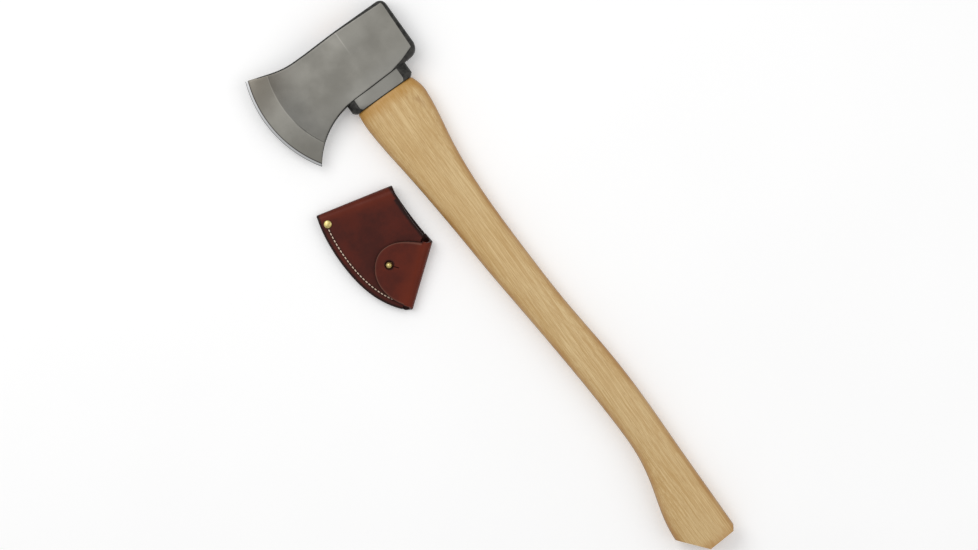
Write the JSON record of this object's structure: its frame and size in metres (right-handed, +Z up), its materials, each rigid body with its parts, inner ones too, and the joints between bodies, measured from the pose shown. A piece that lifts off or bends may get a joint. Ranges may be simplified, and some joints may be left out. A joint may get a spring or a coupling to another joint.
{
  "type": "hatchet",
  "caption": "Forest hatchet lying on its side: forged head on a curved wooden handle, with a folded leather blade sheath that has a buttoned flap, beside it.",
  "frame": {"origin": "centre of the eye, on the flat cheek that the head rests on", "axes": "+X from the cutting edge to the poll, +Y up along the eye away from the handle, +Z up from the plane that the set rests on"},
  "size_m": [0.1763, 0.6112, 0.028],
  "materials": {
    "steel": "forged and ground, cheeks smudged, chamfers dark with forge scale",
    "hickory": "sanded and oiled, straight grain",
    "wedge_wood": "sawn end grain",
    "wedge_steel": "raw steel",
    "leather": "waxed red-brown leather with burnished dark edges",
    "welt_leather": "burnished dark edge",
    "thread": "waxed cream thread",
    "brass": "polished"
  },
  "bodies": {
    "hatchet": {"head": "steel", "handle": "hickory", "wood_wedge": "wedge_wood", "steel_wedge": "wedge_steel"},
    "sheath": {"sheath_pocket": "leather", "sheath_welt": "welt_leather", "seam_stitches": "thread", "rivet_cap": "brass", "rivet_post": "brass", "button_stud": "brass", "stud_screw": "brass"},
    "bend": {"sheath_bend": "leather"},
    "flap": {"sheath_flap": "leather"}
  },
  "joints": [
    {"name": "sheath_lift", "type": "slide", "parent": "hatchet", "child": "sheath", "axis": [0, 0, 1], "range_m": [0, 0.12]},
    {"name": "bend_roll", "type": "hinge", "parent": "sheath", "child": "bend", "pos_m": [-0.07471, -0.18897, 0.00937], "axis": [0.7882, 0.6154, 0], "range_deg": [0, 85], "deforming": ["sheath_bend"]},
    {"name": "flap_fold", "type": "hinge", "parent": "bend", "child": "flap", "pos_m": [-0.07471, -0.18897, 0.00937], "axis": [0.7882, 0.6154, 0], "range_deg": [0, 85]}
  ],
  "couplings": [
    {"joint": "flap_fold", "follows": "bend_roll", "ratio": 1}
  ]
}
